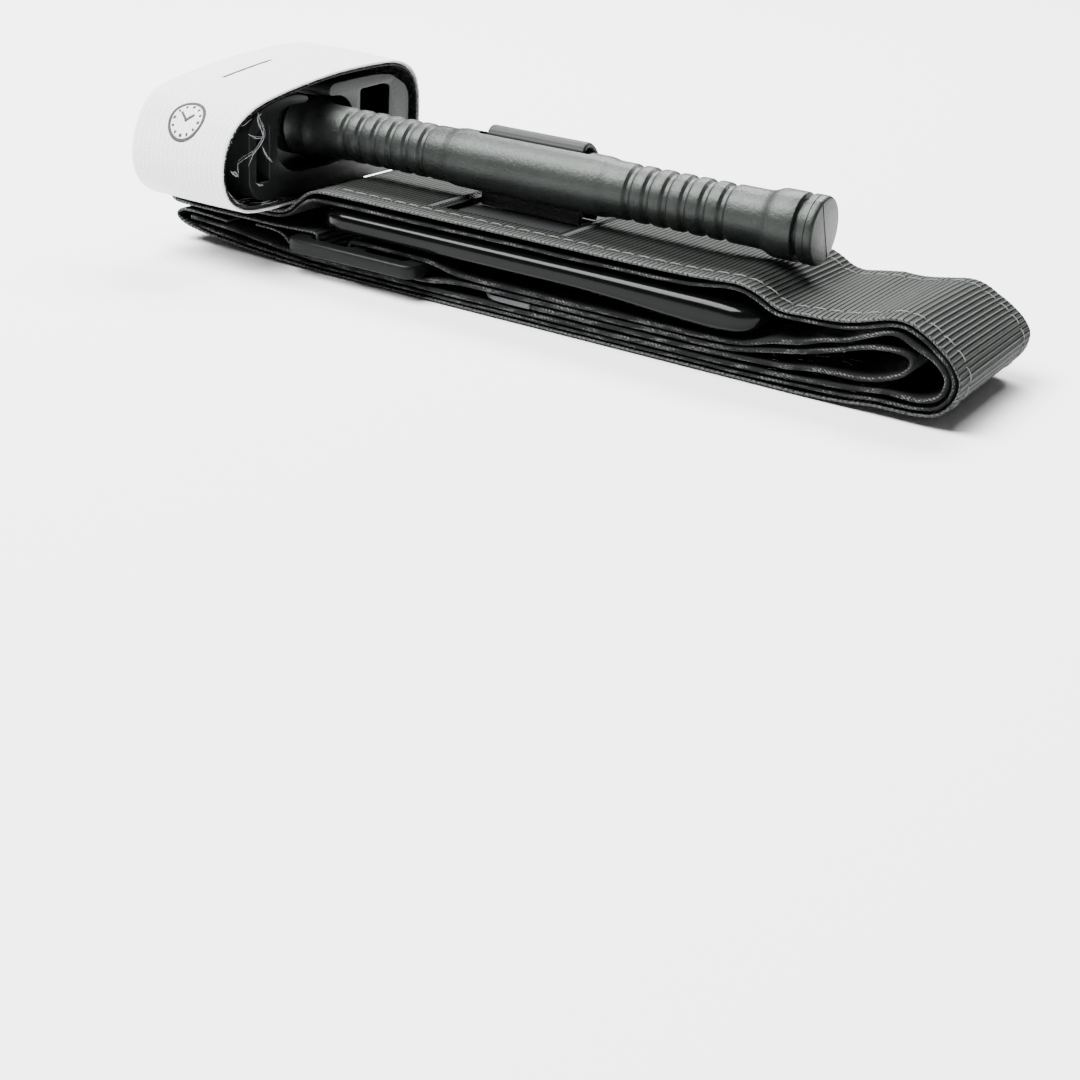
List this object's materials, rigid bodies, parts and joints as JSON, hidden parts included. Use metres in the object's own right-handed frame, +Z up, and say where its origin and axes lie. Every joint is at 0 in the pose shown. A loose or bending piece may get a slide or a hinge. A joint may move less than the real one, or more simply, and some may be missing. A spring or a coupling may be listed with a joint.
{
  "type": "tourniquet",
  "caption": "Windlass tourniquet folded flat for carrying: ribbed band, plate, rod held in a winged clip and a white securing strap over it.",
  "frame": {"origin": "middle of the bounding box at the resting face, under the folded band", "axes": "+X along the windlass rod towards the folded end of the band, +Y towards the clip's padded back wing, +Z up out of the windlass side"},
  "size_m": [0.1789, 0.0664, 0.037],
  "materials": {
    "webbing_outer": "ribbed woven nylon, satin",
    "webbing_inner": "black loop pile with lint",
    "ribbon": "flat woven nylon ribbon",
    "strap_white": "off-white fine woven tape",
    "hook_tape": "black hook tape",
    "plastic_gloss": "glossy moulded black plastic",
    "plastic_rod": "satin glass-filled charcoal plastic",
    "plastic_clip": "satin charcoal plastic",
    "thread": "grey bonded thread",
    "tip_tab": "grey stiffened tape"
  },
  "bodies": {
    "main": {"sheath_outer_top": "webbing_outer", "sheath_inner_top": "webbing_inner", "band_upper_run": "webbing_inner", "tail_upper_run": "webbing_inner", "tension_ribbon_clip_side": "ribbon", "tension_ribbon_fold_side": "ribbon", "sheath_bar_tack_clip_side": "thread", "sheath_bar_tack_fold_side": "thread", "edge_seam_front_top": "thread", "edge_seam_back_top": "thread", "stabilization_plate": "plastic_gloss", "windlass_clip": "plastic_clip", "clip_hook_pad": "hook_tape", "strap_anchor_face": "strap_white", "strap_anchor_lining": "hook_tape", "routing_buckle": "plastic_rod", "tail_lower_run": "webbing_inner", "tail_tip_tab": "tip_tab"},
    "lower_band": {"sheath_outer_bottom": "webbing_outer", "sheath_inner_bottom": "webbing_inner", "band_lower_run": "webbing_inner", "edge_seam_front_bottom": "thread", "edge_seam_back_bottom": "thread"},
    "windlass": {"windlass_rod": "plastic_rod", "tension_ribbon_loop": "ribbon"},
    "strap_flap": {"strap_flap_face": "strap_white", "strap_flap_lining": "hook_tape"}
  },
  "joints": [
    {"name": "band_unfold", "type": "hinge", "parent": "main", "child": "lower_band", "pos_m": [0.08955, 0.0024, 0.0087], "axis": [0, -1, 0], "range_deg": [0, 175]},
    {"name": "windlass_turn", "type": "hinge", "parent": "main", "child": "windlass", "pos_m": [-0.00965, 0.0024, 0.0248], "axis": [0, 0, 1], "range_deg": [0, 8]},
    {"name": "strap_peel", "type": "hinge", "parent": "main", "child": "strap_flap", "pos_m": [-0.0725, -0.01995, 0.0337], "axis": [1, 0, 0], "range_deg": [0, 150]}
  ]
}
